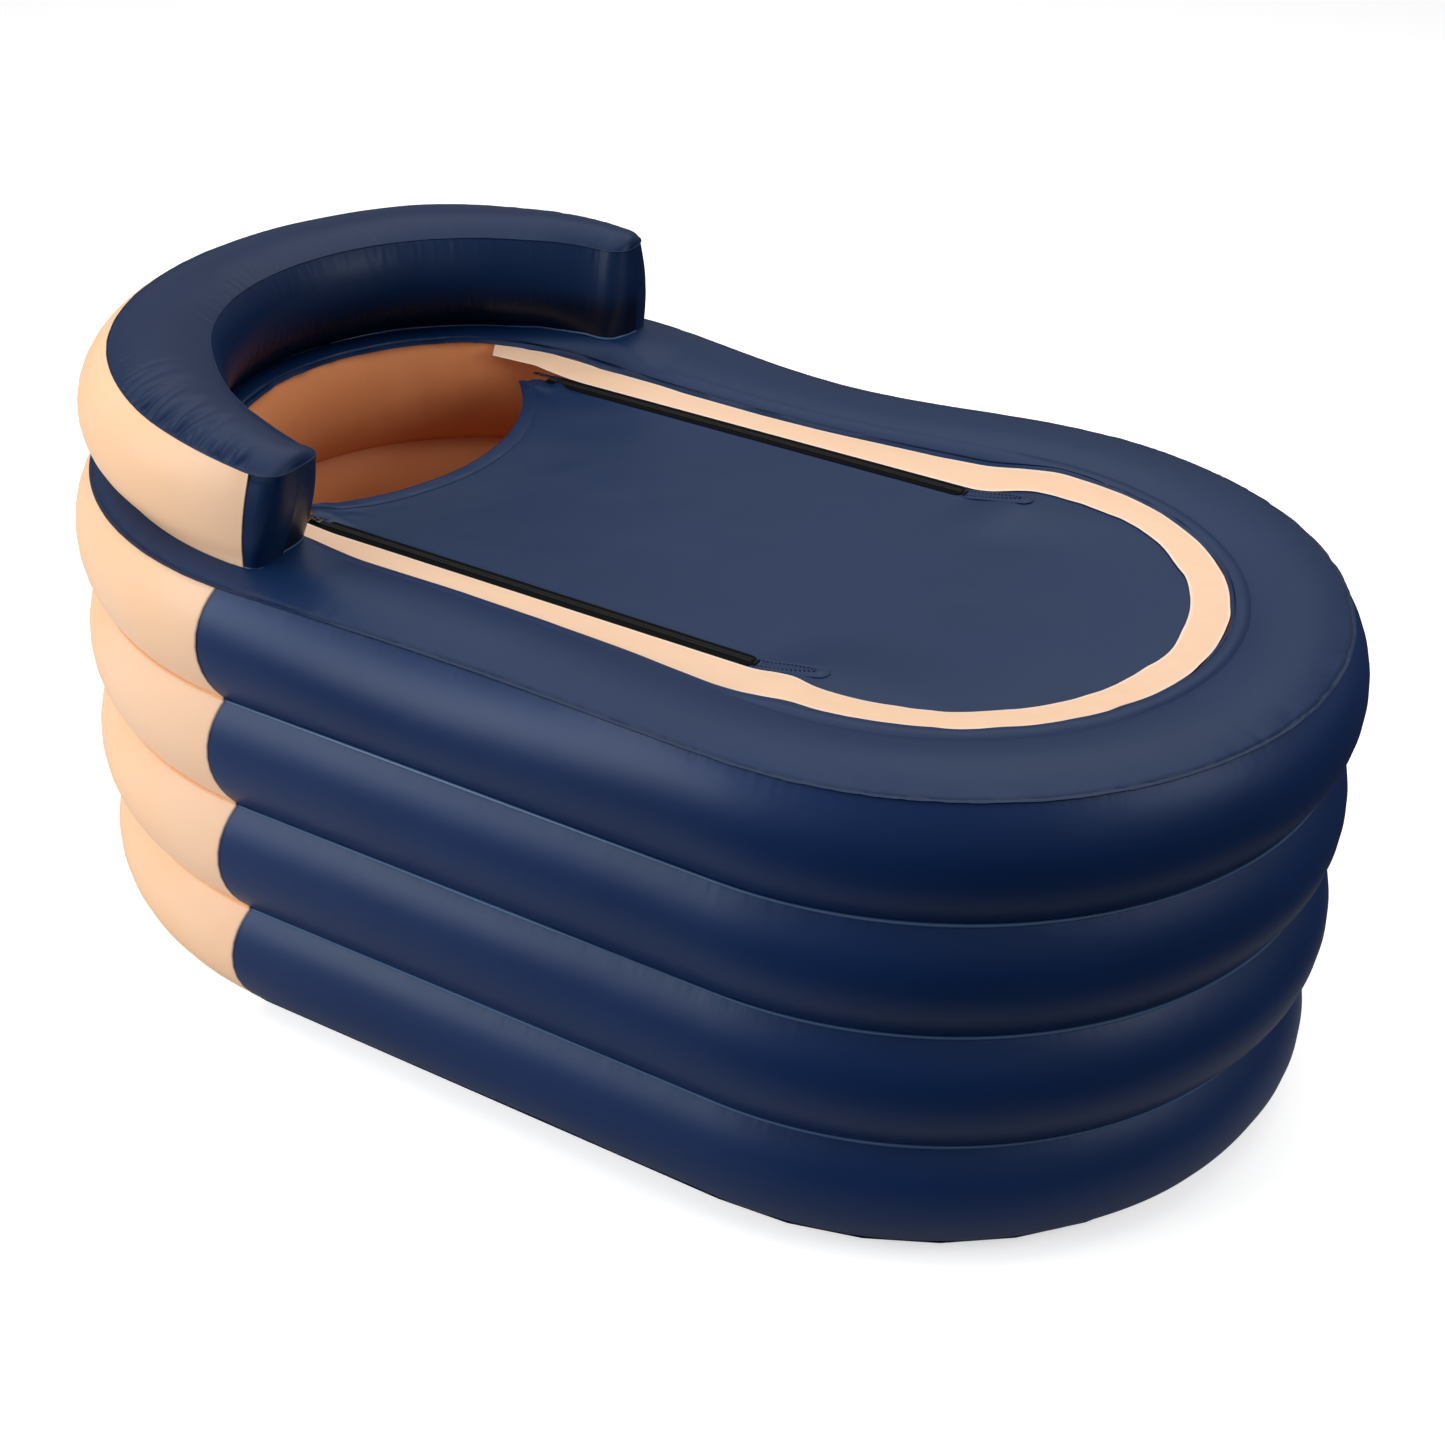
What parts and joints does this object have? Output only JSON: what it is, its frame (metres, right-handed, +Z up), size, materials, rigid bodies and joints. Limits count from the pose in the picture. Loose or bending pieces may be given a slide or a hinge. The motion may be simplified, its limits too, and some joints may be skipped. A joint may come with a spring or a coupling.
{
  "type": "inflatable bathtub",
  "caption": "Free-standing inflatable bathtub of stacked air rings with a backrest cushion and a zipped fold-back cover.",
  "frame": {"origin": "on the ground, under the middle of the tub's footprint", "axes": "+X along the tub to the foot end, with the backrest at -X; +Y to the left of a bather who leans on the backrest; +Z up"},
  "size_m": [1.5918, 0.9518, 0.7546],
  "materials": {
    "navy_vinyl": "satin",
    "deep_navy_vinyl": "satin",
    "peach_vinyl": "satin",
    "pale_peach_vinyl": "satin",
    "zip_black": "woven tape",
    "zip_metal": "dark satin",
    "valve_white": "moulded"
  },
  "bodies": {
    "tub": {"base_sheet": "deep_navy_vinyl", "floor_cushion": "pale_peach_vinyl", "ring_bottom": "peach_vinyl", "ring_lower": "peach_vinyl", "ring_upper": "peach_vinyl", "ring_top": "peach_vinyl", "outer_wall_head": "peach_vinyl", "outer_wall_foot": "navy_vinyl", "rim_panel": "navy_vinyl", "backrest_cushion": "navy_vinyl", "backrest_back_skin": "peach_vinyl", "cover_band": "pale_peach_vinyl", "cover_foot_panel": "navy_vinyl", "zip_rim_tape_left": "zip_black", "zip_rim_tape_right": "zip_black", "zip_stop_left": "zip_metal", "zip_stop_right": "zip_metal", "zip_end_tab_left": "deep_navy_vinyl", "zip_end_tab_right": "deep_navy_vinyl", "wall_valve_body": "valve_white", "wall_valve_insert": "valve_white", "drain_body": "valve_white", "drain_insert": "valve_white", "backrest_valve_body": "valve_white", "backrest_valve_insert": "valve_white", "floor_valve_body": "valve_white", "floor_valve_insert": "valve_white"},
    "cover": {"cover_flap": "navy_vinyl", "cover_hem": "deep_navy_vinyl", "zip_flap_tape_left": "zip_black", "zip_flap_tape_right": "zip_black"},
    "slider_left": {"zip_slider_left": "zip_metal"},
    "slider_right": {"zip_slider_right": "zip_metal"},
    "pull_left": {"zip_pull_left": "zip_metal"},
    "pull_right": {"zip_pull_right": "zip_metal"},
    "wall_valve_lid": {"wall_valve_cap": "valve_white"},
    "drain_lid": {"drain_cap": "valve_white"},
    "backrest_valve_lid": {"backrest_valve_cap": "valve_white"},
    "floor_valve_lid": {"floor_valve_cap": "valve_white"}
  },
  "joints": [
    {"name": "cover_fold", "type": "hinge", "parent": "tub", "child": "cover", "pos_m": [0.235, 0, 0.5726], "axis": [0, 1, 0], "range_deg": [0, 170]},
    {"name": "zip_left_slide", "type": "slide", "parent": "cover", "child": "slider_left", "axis": [1, 0, 0], "range_m": [0, 0.53]},
    {"name": "zip_right_slide", "type": "slide", "parent": "cover", "child": "slider_right", "axis": [1, 0, 0], "range_m": [0, 0.53]},
    {"name": "pull_left_swing", "type": "hinge", "parent": "slider_left", "child": "pull_left", "pos_m": [-0.356, 0.2425, 0.57495], "axis": [0, 1, 0], "range_deg": [0, 180]},
    {"name": "pull_right_swing", "type": "hinge", "parent": "slider_right", "child": "pull_right", "pos_m": [-0.356, -0.2425, 0.57495], "axis": [0, 1, 0], "range_deg": [0, 180]},
    {"name": "wall_valve_cap_swing", "type": "hinge", "parent": "tub", "child": "wall_valve_lid", "pos_m": [-0.69201, 0.29731, 0.40991], "axis": [0.6243, 0.7812, 0], "range_deg": [0, 150]},
    {"name": "drain_cap_swing", "type": "hinge", "parent": "tub", "child": "drain_lid", "pos_m": [-0.62395, 0.35801, 0.1147], "axis": [0.7623, 0.6472, 0], "range_deg": [0, 150]},
    {"name": "backrest_valve_cap_swing", "type": "hinge", "parent": "tub", "child": "backrest_valve_lid", "pos_m": [-0.72393, 0.21111, 0.66499], "axis": [0.4632, 0.8863, 0], "range_deg": [0, 150]},
    {"name": "floor_valve_cap_swing", "type": "hinge", "parent": "tub", "child": "floor_valve_lid", "pos_m": [0.1854, 0.04967, 0.0517], "axis": [0, -1, 0], "range_deg": [0, 150]}
  ]
}
